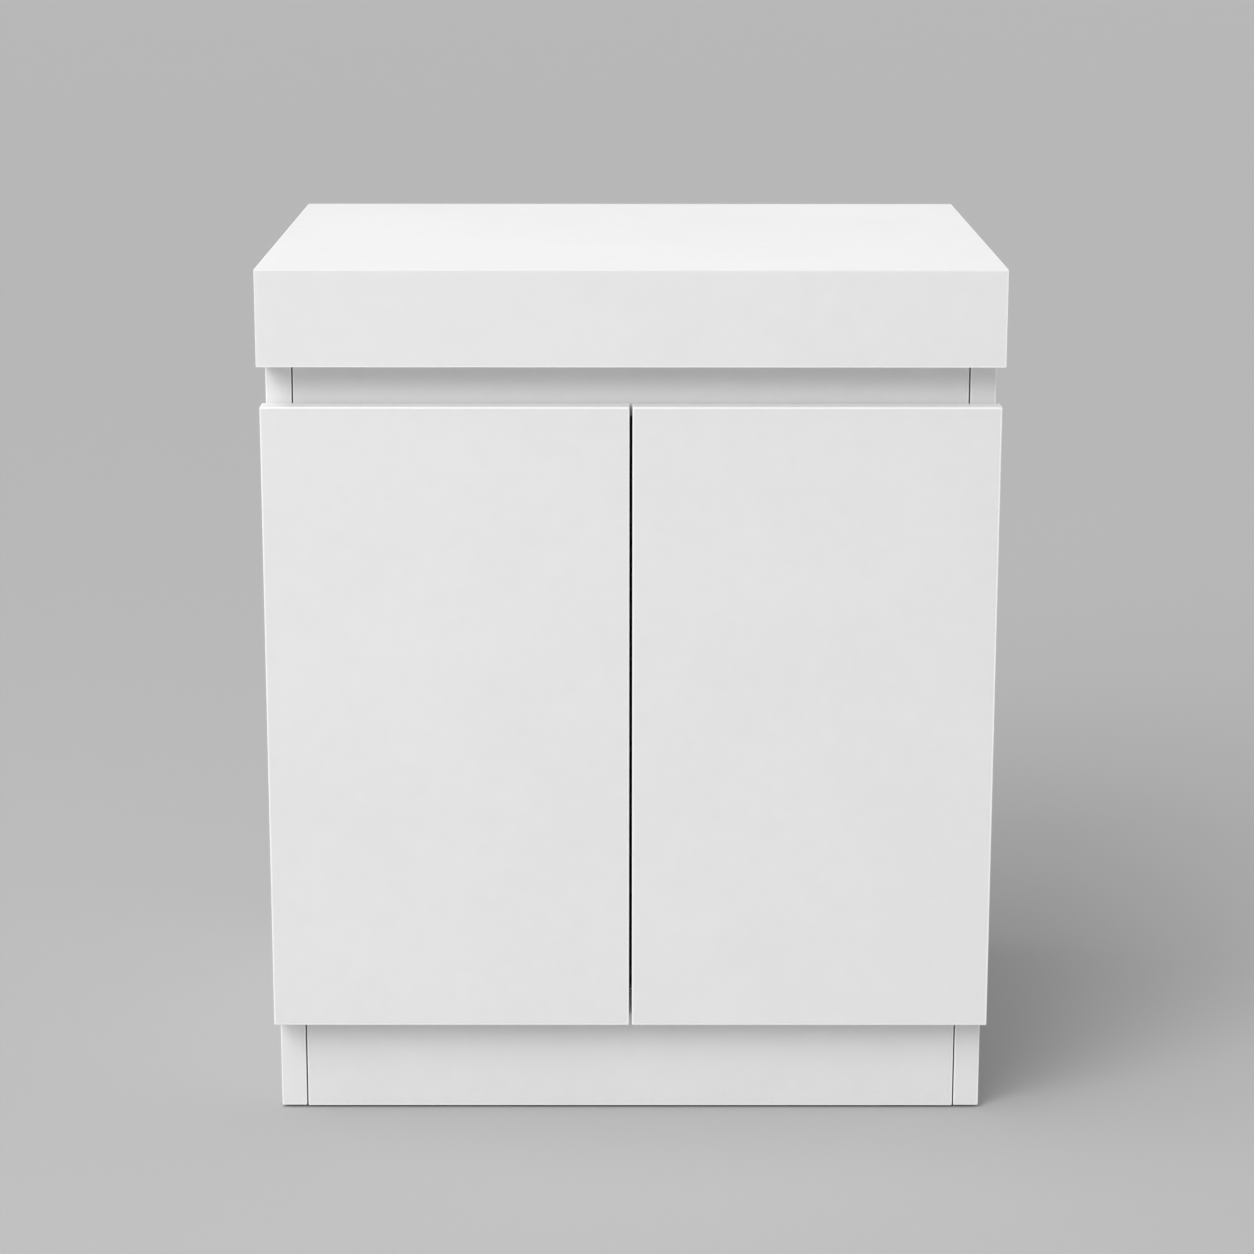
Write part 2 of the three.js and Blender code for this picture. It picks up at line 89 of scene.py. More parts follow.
class Signal:
    """A value inside a node tree. Arithmetic on it adds Math nodes."""

    def __init__(self, tree, socket):
        self.tree = tree
        self.socket = socket

    def math(self, operation, *values):
        inputs = dict(enumerate(values))
        return self.tree.node("ShaderNodeMath", {"operation": operation}, inputs)

    def __add__(self, other):
        return self.math("ADD", self, other)

    def __sub__(self, other):
        return self.math("SUBTRACT", self, other)

    def __mul__(self, other):
        return self.math("MULTIPLY", self, other)

    def __truediv__(self, other):
        return self.math("DIVIDE", self, other)

    def __pow__(self, other):
        return self.math("POWER", self, other)

    def __radd__(self, other):
        return self.math("ADD", other, self)

    def __rsub__(self, other):
        return self.math("SUBTRACT", other, self)

    def __rmul__(self, other):
        return self.math("MULTIPLY", other, self)

    def __rtruediv__(self, other):
        return self.math("DIVIDE", other, self)

    def __abs__(self):
        return self.math("ABSOLUTE", self)

    def least(self, other):
        return self.math("MINIMUM", self, other)

    def most(self, other):
        return self.math("MAXIMUM", self, other)

    def rise(self, low, high):
        """0 at low, 1 at high, smooth between, and level outside."""
        return self.tree.node(
            "ShaderNodeMapRange",
            {"interpolation_type": "SMOOTHSTEP"},
            {"Value": self, "From Min": low, "From Max": high},
        )


class Tree:
    """Adds nodes to a shader or geometry tree."""

    def __init__(self, tree):
        self.tree = tree
        self.tree.nodes.clear()

    def node(self, kind, settings=None, inputs=None, output=0):
        """One node: its settings first, then its sockets' values or links."""
        made = self.tree.nodes.new(kind)
        for key, value in (settings or {}).items():
            setattr(made, key, value)
        for key, given in (inputs or {}).items():
            for value in given if isinstance(given, list) else [given]:
                if isinstance(value, Signal):
                    self.tree.links.new(value.socket, made.inputs[key])
                else:
                    made.inputs[key].default_value = value
        return Signal(self, made.outputs[output] if made.outputs else None)

    def position(self):
        return self.node("ShaderNodeTexCoord", output="Object")

    def axes(self, vector):
        split = self.node("ShaderNodeSeparateXYZ", inputs={0: vector})
        return [Signal(self, socket) for socket in split.socket.node.outputs]

    def stretched(self, vector, scale):
        return self.node("ShaderNodeMapping", inputs={"Vector": vector, "Scale": scale})

    def noise(self, vector, scale, detail=2.0, roughness=0.5):
        return self.node(
            "ShaderNodeTexNoise",
            inputs={"Vector": vector, "Scale": scale, "Detail": detail, "Roughness": roughness},
        )

    def blend(self, share, first, second):
        """One colour turning into the other."""
        return self.node(
            "ShaderNodeMix", {"data_type": "RGBA"}, {0: share, 6: first, 7: second}, output=2
        )

    def vector(self, x, y, z):
        return self.node("ShaderNodeCombineXYZ", inputs={0: x, 1: y, 2: z})

    def bump(self, height, depth, strength):
        inputs = {"Height": height, "Distance": depth, "Strength": strength}
        return self.node("ShaderNodeBump", inputs=inputs)

    def surface(self, inputs):
        shader = self.node("ShaderNodeBsdfPrincipled", inputs=inputs)
        self.node("ShaderNodeOutputMaterial", inputs={"Surface": shader})


def colour(red, green, blue):
    return (red, green, blue, 1.0)


def darker(tone, share):
    return colour(*[channel * share for channel in tone])


def new_material(name):
    material = bpy.data.materials.new(name)
    material.use_nodes = True
    return material, Tree(material.node_tree)


# ---- Finishes ----

# Widths and heights in the finishes are in metres, and noise scales are per metre.
BAND_THICKNESS = 0.0010
BAND_DEPTH = (0.0001, 0.0003)
GLUE_LINE_WIDTH = 0.00016
# Width of the painted highlight along the board edges, past the edge radius
EDGE_HIGHLIGHT_WIDTH = 0.0009
SCUFF_HEIGHT = (0.003, 0.03)
NICK_WIDTH = (0.0003, 0.0012)
LAMINATE_RELIEF = 0.0001
WHITE_FACE = (0.845, 0.838, 0.842)
WHITE_WORN = (0.70, 0.69, 0.675)
MELAMINE_FACE = (0.825, 0.818, 0.815)
MELAMINE_WORN = (0.68, 0.665, 0.64)
BAND_WHITE = (0.855, 0.85, 0.852)
# Near-white painted onto the board edges as a highlight
PAINTED_HIGHLIGHT_WHITE = (0.965, 0.963, 0.963)


def board_finish(node, face, worn, matt, cut_edges, radius):
    """Laminate on one board: soft mottling, a pebbled skin, a painted highlight along its edges and banded
    cut edges.
    cut_edges are the axes that the board's banded edges face along, and radius is its edge radius."""
    material, tree = new_material(f"board_{node}")
    place = tree.position()
    low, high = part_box(node)
    across = [(axis - low[i]).least(high[i] - axis) for i, axis in enumerate(tree.axes(place))]
    nearest, second = across[0].least(across[1]), across[0].most(across[1])
    from_edge = nearest.most(second.least(across[2]))

    cloud = tree.noise(place, 9.0, 3.0)
    mottle = tree.noise(place, 55.0, 3.0, 0.6)
    pebble = tree.noise(place, 1500.0, 2.0, 0.55)
    orange_peel = tree.noise(place, 190.0, 1.0)
    rubbed = tree.noise(place, 130.0, 4.0, 0.7)

    tone = cloud * 0.5 + mottle * 0.5
    skin = tree.blend(tone.rise(0.3, 0.7), darker(face, 0.974), colour(*face))
    relief = pebble * 0.6 + orange_peel * 0.7
    roughness = matt + (cloud - 0.5) * 0.16 + (pebble - 0.5) * 0.08
    if cut_edges:
        depths = [across[axis] for axis in cut_edges]
        band = 1 - depths[0].least(depths[-1]).rise(*BAND_DEPTH)
        skin = tree.blend(band, skin, colour(*BAND_WHITE))
        off_line = abs(from_edge - (radius + BAND_THICKNESS))
        glue_line = 1 - off_line.rise(GLUE_LINE_WIDTH * 0.4, GLUE_LINE_WIDTH * 1.6)
        skin = tree.blend(glue_line * 0.16, skin, darker(face, 0.75))
        relief = relief - glue_line * 0.8
        roughness = roughness - band * 0.08
    # Painted highlight: a thin near-white band along every board edge, its strength varied by the same
    # noise as the scuffs and nicks
    painted_edge_highlight = 1 - from_edge.rise(radius + EDGE_HIGHLIGHT_WIDTH * 0.4, radius + EDGE_HIGHLIGHT_WIDTH * 1.2)
    painted_edge_highlight = painted_edge_highlight * (0.7 + rubbed * 0.4).least(1.0)
    skin = tree.blend(painted_edge_highlight, skin, colour(*PAINTED_HIGHLIGHT_WHITE))
    scuffed = (1 - tree.axes(place)[Z].rise(*SCUFF_HEIGHT)) * rubbed.rise(0.52, 0.74)
    nicked = (1 - from_edge.rise(*NICK_WIDTH)) * rubbed.rise(0.66, 0.74)
    skin = tree.blend((scuffed * 0.25 + nicked * 0.3).least(1.0), skin, colour(*worn))
    tree.surface({
        "Base Color": skin,
        "Roughness": roughness + scuffed * 0.08,
        "Normal": tree.bump(relief, LAMINATE_RELIEF, 0.8),
        "Specular IOR Level": 0.25,
        "IOR": 1.5,
    })
    return material


def plated_steel():
    """Bright nickel plate over pressed steel: fine rolled streaks, pits and hazy patches."""
    material, tree = new_material("plated_steel")
    place = tree.position()
    streaks = tree.noise(tree.stretched(place, (1400.0, 1400.0, 90.0)), 1.0, 3.0, 0.6)
    pits = tree.noise(place, 3200.0, 2.0)
    haze = tree.noise(place, 90.0, 2.0).rise(0.4, 0.7)
    tree.surface({
        "Base Color": tree.blend(haze, colour(0.80, 0.785, 0.76), colour(0.73, 0.715, 0.69)),
        "Metallic": 1.0,
        "Roughness": 0.2 + streaks * 0.08 + haze * 0.07,
        "Normal": tree.bump(streaks * 0.6 + pits * 0.4, 0.00001, 0.35),
    })
    return material


def zinc_steel():
    """Zinc plate: a patchy crystal pattern with a faint blue and yellow cast."""
    material, tree = new_material("zinc_steel")
    place = tree.position()
    crystals = tree.node(
        "ShaderNodeTexVoronoi",
        {"feature": "F1"},
        {"Vector": place, "Scale": 520.0, "Randomness": 1.0},
        output="Color",
    )
    tint = tree.axes(crystals)[0]
    cast = tree.noise(place, 70.0, 3.0)
    grain = tree.noise(place, 1900.0, 2.0)
    shade = tree.blend(tint, colour(0.50, 0.52, 0.545), colour(0.62, 0.64, 0.66))
    shade = tree.blend(cast.rise(0.45, 0.7) * 0.35, shade, colour(0.66, 0.63, 0.52))
    tree.surface({
        "Base Color": shade,
        "Metallic": 1.0,
        "Roughness": 0.36 + tint * 0.1 + grain * 0.1,
        "Normal": tree.bump(grain, 0.00003, 0.5),
    })
    return material


def moulded_plastic(name, body, rubbed_tone, matt):
    """Injection-moulded plastic with a spark-eroded grain and paler rubbed patches."""
    material, tree = new_material(name)
    place = tree.position()
    grain = tree.noise(place, 1700.0, 2.0, 0.6)
    cloud = tree.noise(place, 60.0, 3.0)
    rubbed = tree.noise(place, 300.0, 4.0, 0.7).rise(0.55, 0.75)
    tree.surface({
        "Base Color": tree.blend(rubbed * 0.5, colour(*body), colour(*rubbed_tone)),
        "Roughness": matt + (cloud - 0.5) * 0.18 + grain * 0.08,
        "Normal": tree.bump(grain, 0.00005, 0.5),
        "Specular IOR Level": 0.45,
    })
    return material


def bumper_gel():
    """Soft clear gel with a little dust in its surface."""
    material, tree = new_material("bumper_gel")
    place = tree.position()
    dust = tree.noise(place, 900.0, 3.0, 0.6)
    dusty = dust.rise(0.5, 0.75)
    tree.surface({
        "Base Color": tree.blend(dusty, colour(0.86, 0.88, 0.88), colour(0.7, 0.7, 0.68)),
        "Roughness": 0.22 + dust * 0.2,
        "Transmission Weight": 0.55,
        "IOR": 1.45,
        "Normal": tree.bump(dust, 0.00003, 0.4),
    })
    return material


PLATED = plated_steel()
ZINC = zinc_steel()
BLACK_PLASTIC = moulded_plastic("grommet_plastic", (0.028, 0.029, 0.031), (0.07, 0.07, 0.072), 0.42)
GLIDE_PLASTIC = moulded_plastic("glide_plastic", (0.26, 0.26, 0.27), (0.36, 0.36, 0.36), 0.5)
CAP_PLASTIC = moulded_plastic("cap_plastic", (0.80, 0.80, 0.795), (0.74, 0.735, 0.72), 0.34)
GEL = bumper_gel()


# ---- Frame pieces that stay as they are ----

WELD_DISTANCE = 0.00001
BEVEL_ANGLE = radians(35)


def soften(piece, radius, segments):
    """Closes the loose triangles and rounds the sharp edges."""
    weld = piece.modifiers.new("weld", "WELD")
    weld.merge_threshold = WELD_DISTANCE
    bevel = piece.modifiers.new("rounded edges", "BEVEL")
    bevel.width = radius
    bevel.segments = segments
    bevel.limit_method = "ANGLE"
    bevel.angle_limit = BEVEL_ANGLE


def dress(node, material, radius, segments):
    piece = NODES[node]
    piece.data.materials.clear()
    piece.data.materials.append(material)
    soften(piece, radius, segments)


WHITE = (WHITE_FACE, WHITE_WORN)
MELAMINE = (MELAMINE_FACE, MELAMINE_WORN)
BOARDS = {
    # name: [finish, edge radius in mm, roughness, axes of the banded edges]
    "top_board": [WHITE, 0.12, 0.46, ()],
    "top_apron_front": [WHITE, 0.12, 0.46, ()],
    "top_apron_right": [WHITE, 0.12, 0.46, ()],
    "top_apron_back": [WHITE, 0.12, 0.46, ()],
    "top_apron_left": [WHITE, 0.12, 0.46, ()],
    "top_soffit": [WHITE, 0.3, 0.5, ()],
    "side_panel_left": [WHITE, 0.7, 0.48, (Y, Z)],
    "side_panel_right": [WHITE, 0.7, 0.48, (Y, Z)],
    "front_rail": [WHITE, 0.5, 0.48, (X, Z)],
    "plinth_board": [WHITE, 0.5, 0.48, (X, Z)],
    "door_left": [WHITE, 0.9, 0.46, (X, Z)],
    "door_right": [WHITE, 0.9, 0.46, (X, Z)],
    "top_rib_left": [MELAMINE, 0.4, 0.5, (Y, Z)],
    "top_rib_right": [MELAMINE, 0.4, 0.5, (Y, Z)],
    "bottom_panel": [MELAMINE, 0.4, 0.5, (X, Y)],
    "back_panel": [MELAMINE, 0.4, 0.5, (X, Z)],
}

for node, ((face, worn), radius, matt, cut_edges) in BOARDS.items():
    dress(node, board_finish(node, face, worn, matt, cut_edges, radius * MM), radius * MM, 3)
for side in SIDES:
    for place in BRACKET_Y:
        dress(f"bracket_{place}_{side}", ZINC, 0.35 * MM, 3)
        dress(f"glide_{place}_{side}", GLIDE_PLASTIC, 0.4 * MM, 2)
    for height in HINGE_Z:
        for link in ("outer_link", "inner_link"):
            dress(f"hinge_{height}_{side}_{link}", PLATED, 0.2 * MM, 2)


def in_scene(name, data):
    made = bpy.data.objects.new(name, data)
    bpy.context.scene.collection.objects.link(made)
    return made


# ---- Pressed and turned shapes ----
# A shape is drawn on three axes and gathered in a bmesh, in millimetres. For a hinge the axes are
# u from the side panel's inner face to the middle, v backwards from the carcass front edge, and w up.

U, V, W = 0, 1, 2
PLANES = {"uv": (U, V, W), "vw": (V, W, U), "uw": (U, W, V)}
CREASE_ANGLE = radians(32)
HOLE_STEPS = 28
PIN_STEPS = 24
PIN_EDGE = 0.25
MERGE_DISTANCE = 0.0005


def rounded(corners, setback, steps=4):
    """The outline through these corners, each one turned from this far before it to this far after."""
    outline = []
    for i, corner in enumerate(corners):
        here = Vector(corner)
        back = Vector(corners[i - 1]) - here
        ahead = Vector(corners[(i + 1) % len(corners)]) - here
        reach = min(setback, back.length * 0.49, ahead.length * 0.49)
        start = here + back.normalized() * reach
        end = here + ahead.normalized() * reach
        for step in range(steps + 1):
            t = step / steps
            outline.append(start * (1 - t) ** 2 + here * 2 * t * (1 - t) + end * t * t)
    return outline


def arc(centre, radius, start, end, steps):
    """Points on an arc, angles in radians."""
    return [
        Vector((centre[0] + radius * cos(a), centre[1] + radius * sin(a)))
        for a in (start + (end - start) * i / steps for i in range(steps + 1))
    ]


def hole(centre, radius):
    """A round hole's outline, run clockwise."""
    return arc(centre, radius, 2 * pi, 0, HOLE_STEPS)[:-1]


def quarter_turn(steps):
    """Angles from 0 to a right angle."""
    return [pi / 2 * i / steps for i in range(steps + 1)]


def rectangle(low, high):
    """Its four corners, from the lowest and the highest."""
    return [(low[0], low[1]), (high[0], low[1]), (high[0], high[1]), (low[0], high[1])]


def add_plate(shape, plane, outline, holes, low, high, bevel):
    """A flat plate with holes, from low to high along its normal, its edges rounded over."""
    curve = bpy.data.curves.new("plate", "CURVE")
    curve.dimensions = "2D"
    curve.fill_mode = "BOTH"
    curve.extrude = (high - low) / 2 - bevel
    curve.bevel_depth = bevel
    curve.bevel_resolution = 1
    curve.offset = -bevel
    for loop in [outline, *holes]:
        spline = curve.splines.new("POLY")
        spline.points.add(len(loop) - 1)
        for point, (a, b) in zip(spline.points, loop):
            point.co = (a, b, 0, 1)
        spline.use_cyclic_u = True
    drawn = bpy.data.objects.new("plate", curve)
    mesh = bpy.data.meshes.new_from_object(drawn)
    first, second, normal = PLANES[plane]
    for vertex in mesh.vertices:
        a, b, c = vertex.co
        place = [0, 0, 0]
        place[first], place[second], place[normal] = a, b, c + (low + high) / 2
        vertex.co = place
    shape.from_mesh(mesh)
    bpy.data.objects.remove(drawn)
    bpy.data.curves.remove(curve)
    bpy.data.meshes.remove(mesh)


def add_turned(shape, axis, centre, profile, steps, closed=False):
    """Turns a profile of (radius, distance along the axis) round an axis through centre."""
    first, second = [i for i in range(3) if i != axis]
    rings = []
    for radius, along in profile:
        ring = []
        for step in range(steps if radius > 0 else 1):
            angle = 2 * pi * step / steps
            place = [0.0, 0.0, 0.0]
            place[axis] = along
            place[first] = centre[0] + radius * cos(angle)
            place[second] = centre[1] + radius * sin(angle)
            ring.append(shape.verts.new(place))
        rings.append(ring)
    pairs = list(zip(rings, rings[1:] + rings[:1]))
    for near, far in pairs if closed else pairs[:-1]:
        for step in range(steps):
            after = (step + 1) % steps
            corners = [near[step % len(near)], near[after % len(near)]]
            corners += [far[after % len(far)], far[step % len(far)]]
            shape.faces.new(list(dict.fromkeys(corners)))


def add_pin(shape, centre, radius, low, high):
    """A pin along w, its ends' edges broken."""
    profile = [(0, low), (radius - PIN_EDGE, low), (radius, low + PIN_EDGE)]
    profile += [(radius, high - PIN_EDGE), (radius - PIN_EDGE, high), (0, high)]
    add_turned(shape, W, centre, profile, PIN_STEPS)


def finished(shape, name, matrix, material, body):
    """One piece, in its place in its mesh, with outward faces and crisp creases."""
    bmesh.ops.remove_doubles(shape, verts=shape.verts, dist=MERGE_DISTANCE)
    bmesh.ops.transform(shape, matrix=matrix, verts=shape.verts)
    bmesh.ops.recalc_face_normals(shape, faces=shape.faces)
    for face in shape.faces:
        face.smooth = True
    for edge in shape.edges:
        edge.smooth = edge.calc_face_angle(pi) < CREASE_ANGLE
    mesh = bpy.data.meshes.new(name)
    shape.to_mesh(mesh)
    mesh.materials.append(material)
    piece = in_scene(name, mesh)
    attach(piece, body)
    return piece


# ---- Concealed hinges ----

CUP_U = -1
CUP_RADIUS = 17.5
CUP_MOUTH = DOOR_BACK_Y - FRONT_EDGE_Y
CUP_BOTTOM = CUP_MOUTH - 13.4
CUP_WALL = 0.8
CUP_FILLET = 1.8
RIM_EDGE = 0.2
EAR = (CUP_U + 6, 24)
EAR_RADIUS = 6.5
EAR_HOLE_RADIUS = 2.2
WING_NEAR_EDGE = CUP_U - 3
WING_CORNER_RADIUS = 2
WING_CORNER = (WING_NEAR_EDGE + WING_CORNER_RADIUS, 22)
WING_BEVEL = 0.2
OUTER_PIVOT = {"arm": (24.3, 19.93), "cup": (-12.43, -5.6)}
INNER_PIVOT = {"arm": (7.57, -3.99), "cup": (-11.08, -10)}
PIN_RADIUS = 1.2
PIN_SHORT = 0.1
OUTER_PIN_START = 6.3
ARM_FRONT = 18
ARM_BACK = 62
ARM_TOP = 29.5
ARM_STEEL = 1.5
ARM_BEVEL = 0.3
BLOCK_BEVEL = 0.4
CHEEK = (9.2, 11)
CROSS_BLOCK = [(11.5, 27), (18.5, 33)]
NOSE_HALF_WIDTH = 3.8
NOSE_EYE_RADIUS = 2.1
INNER_PIN_HALF_LENGTH = 6.1
ADJUSTING_SCREW_V = 29
CLAMPING_SCREW_V = 45
CLAMPING_HOLE_RADIUS = 2.6
PLATE_STEEL = 2.2
PLATE_BEVEL = 0.35
PLATE_SCREW = (37, 20)
PLATE_HOLE_RADIUS = 2.5


def cup_shape():
    """The pot with its rounded floor, the two wings of its flange, and the pivot pins."""
    shape = bmesh.new()
    inner = CUP_RADIUS - CUP_WALL
    outside, inside = [
        [
            (radius - CUP_FILLET + CUP_FILLET * sin(a), floor + CUP_FILLET - CUP_FILLET * cos(a))
            for a in quarter_turn(5)
        ]
        for radius, floor in ((CUP_RADIUS, CUP_BOTTOM), (inner, CUP_BOTTOM + CUP_WALL))
    ]
    rim = [(CUP_RADIUS, CUP_MOUTH - RIM_EDGE), (CUP_RADIUS - RIM_EDGE, CUP_MOUTH)]
    rim += [(inner + RIM_EDGE, CUP_MOUTH), (inner, CUP_MOUTH - RIM_EDGE)]
    profile = [(0, CUP_BOTTOM), *outside, *rim, *inside[::-1], (0, CUP_BOTTOM + CUP_WALL)]
    add_turned(shape, V, (CUP_U, 0), profile, 72)

    mouth_start = acos((EAR[0] + EAR_RADIUS - CUP_U) / inner)
    mouth_end = acos((WING_NEAR_EDGE - CUP_U) / inner)
    wing = [Vector((WING_NEAR_EDGE, WING_CORNER[1]))]
    wing += arc(WING_CORNER, WING_CORNER_RADIUS, pi, pi / 2, 5)
    wing += arc(EAR, EAR_RADIUS, pi, 0, 24)
    wing += arc((CUP_U, 0), inner, mouth_start, mouth_end, 24)
    mirrored = [Vector((u, -w)) for u, w in wing]
    for outline, w in ((wing[::-1], EAR[1]), (mirrored, -EAR[1])):
        screw_hole = hole((EAR[0], w), EAR_HOLE_RADIUS)
        add_plate(shape, "uw", outline, [screw_hole], CUP_MOUTH, CUP_MOUTH + CUP_WALL, WING_BEVEL)

    outer_reach, inner_reach = [
        sqrt(CUP_RADIUS ** 2 - (CUP_U - pivot["cup"][0] + PIN_RADIUS) ** 2) - PIN_SHORT
        for pivot in (OUTER_PIVOT, INNER_PIVOT)
    ]
    add_pin(shape, OUTER_PIVOT["cup"], PIN_RADIUS, OUTER_PIN_START, outer_reach)
    add_pin(shape, OUTER_PIVOT["cup"], PIN_RADIUS, -outer_reach, -OUTER_PIN_START)
    add_pin(shape, INNER_PIVOT["cup"], PIN_RADIUS, -inner_reach, inner_reach)
    return shape


def arm_shape():
    """Two cheeks under a top plate, the cross block, the nose and the riveted pins."""
    shape = bmesh.new()
    near, far = CHEEK
    under_top = ARM_TOP - 0.05
    cheek = [(9, 28), (20.5, 17), (24.5, 16)]
    cheek += [(under_top, ARM_FRONT), (under_top, ARM_BACK), (9, ARM_BACK)]
    for low, high in ((near, far), (-far, -near)):
        add_plate(shape, "uv", rounded(cheek, 1.6), [], low, high, ARM_BEVEL)
    top = rounded(rectangle((ARM_FRONT, -far), (ARM_BACK, far)), 1.8)
    screw_hole = hole((CLAMPING_SCREW_V, 0), CLAMPING_HOLE_RADIUS)
    add_plate(shape, "vw", top, [screw_hole], ARM_TOP - ARM_STEEL, ARM_TOP, ARM_BEVEL)

    nose = [(5.57, -3.49), (9.57, -4.49), (12, 4), (17, 14)]
    nose += [(18.5, 24), (18.5, 33), (11.5, 33), (11.5, 24), (9, 12)]
    add_plate(shape, "uv", rounded(nose, 2.2), [], -NOSE_HALF_WIDTH, NOSE_HALF_WIDTH, BLOCK_BEVEL)
    cross = rounded(rectangle(*CROSS_BLOCK), 1)
    add_plate(shape, "uv", cross, [], -far + 0.1, far - 0.1, BLOCK_BEVEL)

    eye_end = NOSE_HALF_WIDTH - 0.05
    add_pin(shape, INNER_PIVOT["arm"], NOSE_EYE_RADIUS, -eye_end, eye_end)
    add_pin(shape, INNER_PIVOT["arm"], PIN_RADIUS, -INNER_PIN_HALF_LENGTH, INNER_PIN_HALF_LENGTH)
    add_pin(shape, OUTER_PIVOT["arm"], PIN_RADIUS, -far, far)
    rivet_head = [(0, far + 0.45), (1.1, far + 0.4), (1.9, far + 0.1), (2, far - 0.1), (0, far - 0.1)]
    for end in (-1, 1):
        head = [(radius, end * w) for radius, w in rivet_head]
        add_turned(shape, W, OUTER_PIVOT["arm"], head, PIN_STEPS)
    return shape


def mounting_plate_shape():
    """Two screwed wings, a stamped base and the rail that carries the arm."""
    shape = bmesh.new()
    wings = rounded(rectangle((30, -26), (44, 26)), 6, 7)
    screw_holes = [hole((PLATE_SCREW[0], w), PLATE_HOLE_RADIUS) for w in (-PLATE_SCREW[1], PLATE_SCREW[1])]
    add_plate(shape, "vw", wings, screw_holes, 0, PLATE_STEEL, PLATE_BEVEL)
    base = rounded(rectangle((22, -9), (60, 9)), 2.5)
    add_plate(shape, "vw", base, [], 0.02, PLATE_STEEL - 0.05, PLATE_BEVEL)
    rail = rounded(rectangle((36, -8.5), (58, 8.5)), 1.2)
    screw_hole = hole((CLAMPING_SCREW_V, 0), CLAMPING_HOLE_RADIUS)
    add_plate(shape, "vw", rail, [screw_hole], 0.05, ARM_TOP - ARM_STEEL, BLOCK_BEVEL)
    return shape


def hinge_place(side, z):
    """From a hinge's own axes to the cabinet, in metres."""
    turn = Matrix.Diagonal((-SIDES[side], 1, 1, 1))
    shift = Matrix.Translation((SIDES[side] * SIDE_INNER_X, FRONT_EDGE_Y, z))
    return IN_METRES @ shift @ turn


for side in SIDES:
    for height, z in HINGE_Z.items():
        place = hinge_place(side, z)
        hinge = f"hinge_{height}_{side}"
        for part, make, material, body, slot in (
            ("cup", cup_shape, PLATED, f"{side}_door", "plated_steel"),
            ("arm", arm_shape, PLATED, "root", "plated_steel"),
            ("mounting_plate", mounting_plate_shape, ZINC, "root", "zinc_steel"),
        ):
            piece = finished(make(), f"{hinge}_{part}_pressed", place, material, body)
            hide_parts(f"{hinge}_{part}")


# ---- Grommets and bumpers ----

GROMMET_FRONT = lowest("grommet_right", Y)
GROMMET_FACE = highest("grommet_right", Y)
FLANGE_RADIUS = GROMMET_X - lowest("grommet_right", X)
TUBE_RADIUS = 29.7
BORE_RADIUS = 27
ROLL_RADIUS = 1.4
FLANGE_GROOVE = [(30.6, 0), (30.2, -0.35), (29.8, 0)]  # radius, and step from the face
BUMPER_RADIUS = BUMPER_X - lowest("bumper_lower_right", X)
BUMPER_RISE = highest("bumper_lower_right", Y) - DOOR_BACK_Y
BUMPER_WALL = 0.5


def grommet_shape(x):
    """A flanged tube through the back panel, its rim rolled over and a fine groove round its face."""
    shape = bmesh.new()
    roll_y = GROMMET_FACE - ROLL_RADIUS
    outer_roll = FLANGE_RADIUS - ROLL_RADIUS
    inner_roll = BORE_RADIUS + ROLL_RADIUS
    profile = [(BORE_RADIUS + 0.4, GROMMET_FRONT), (TUBE_RADIUS - 0.5, GROMMET_FRONT)]
    profile += [(TUBE_RADIUS, GROMMET_FRONT + 0.5), (TUBE_RADIUS, CARCASS_BACK_Y)]
    profile += [(FLANGE_RADIUS - 0.2, CARCASS_BACK_Y)]
    profile += [(outer_roll + ROLL_RADIUS * cos(a), roll_y + ROLL_RADIUS * sin(a)) for a in quarter_turn(6)]
    profile += [(radius, GROMMET_FACE + y) for radius, y in FLANGE_GROOVE]
    profile += [(inner_roll - ROLL_RADIUS * sin(a), roll_y + ROLL_RADIUS * cos(a)) for a in quarter_turn(6)]
    profile += [(BORE_RADIUS, GROMMET_FRONT + 0.4)]
    add_turned(shape, Y, (x, GROMMET_Z), profile, 96, closed=True)
    return shape


def bumper_shape(x, z):
    """A soft dot, domed and flat where it is stuck on."""
    shape = bmesh.new()
    wall_end = DOOR_BACK_Y + BUMPER_WALL
    rise = BUMPER_RISE - BUMPER_WALL
    dome = [(BUMPER_RADIUS * cos(a), wall_end + rise * sin(a)) for a in quarter_turn(8)[:-1]]
    profile = [(0, DOOR_BACK_Y), (BUMPER_RADIUS - 0.1, DOOR_BACK_Y), *dome, (0, wall_end + rise)]
    add_turned(shape, Y, (x, z), profile, 36)
    return shape


for side, sign in SIDES.items():
    tube = grommet_shape(sign * GROMMET_X)
    ring = finished(tube, f"grommet_{side}_ring", IN_METRES, BLACK_PLASTIC, "root")
    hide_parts(f"grommet_{side}")
    for height, z in BUMPER_Z.items():
        bumper = f"bumper_{height}_{side}"
        gel = bumper_shape(sign * BUMPER_X, z)
        dot = finished(gel, f"{bumper}_dot", IN_METRES, GEL, f"{side}_door")
        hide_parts(bumper)


# ---- Repeated fittings ----

def growing_tree(name, sizes):
    """An empty geometry tree with these named inputs."""
    group = bpy.data.node_groups.new(name, "GeometryNodeTree")
    group.interface.new_socket("Places", in_out="INPUT", socket_type="NodeSocketGeometry")
    for size, kind in sizes.items():
        group.interface.new_socket(size, in_out="INPUT", socket_type=kind)
    group.interface.new_socket("Fittings", in_out="OUTPUT", socket_type="NodeSocketGeometry")
    tree = Tree(group)
    given = tree.node("NodeGroupInput")
    sockets = {s.name: Signal(tree, s) for s in given.socket.node.outputs if s.name}
    return group, tree, sockets


